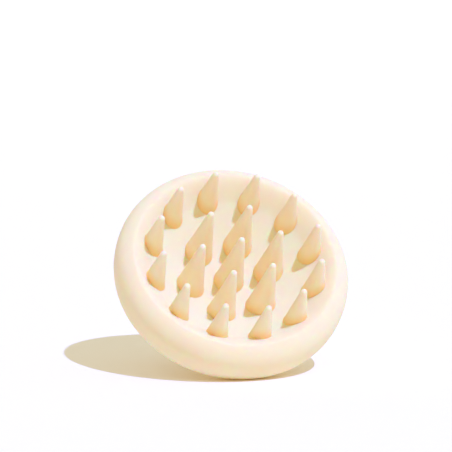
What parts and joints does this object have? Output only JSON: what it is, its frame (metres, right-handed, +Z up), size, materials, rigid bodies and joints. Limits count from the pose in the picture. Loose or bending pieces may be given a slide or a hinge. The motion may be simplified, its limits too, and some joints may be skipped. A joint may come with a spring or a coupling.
{
  "type": "scalp massager brush",
  "caption": "Handheld scalp massager brush: a soft dished silicone head full of cone bristles on a waisted finger knob.",
  "frame": {"origin": "on the table under the middle of the part's box, as the brush lies at rest on its rim and its knob", "axes": "+Z up, +X across the brush, and -Y the side that the bristles face as the head leans back"},
  "size_m": [0.0798, 0.0676, 0.0667],
  "materials": {
    "silicone": "matte cream silicone",
    "hard_plastic": "fine satin",
    "core_plastic": "plain moulded",
    "screw_steel": "zinc plated"
  },
  "bodies": {
    "root": {"bristle_head": "silicone", "core_plate": "core_plastic", "handle_body": "hard_plastic", "knob_cap": "hard_plastic", "plate_screw_1": "screw_steel", "plate_screw_2": "screw_steel", "plate_screw_3": "screw_steel"}
  },
  "joints": []
}
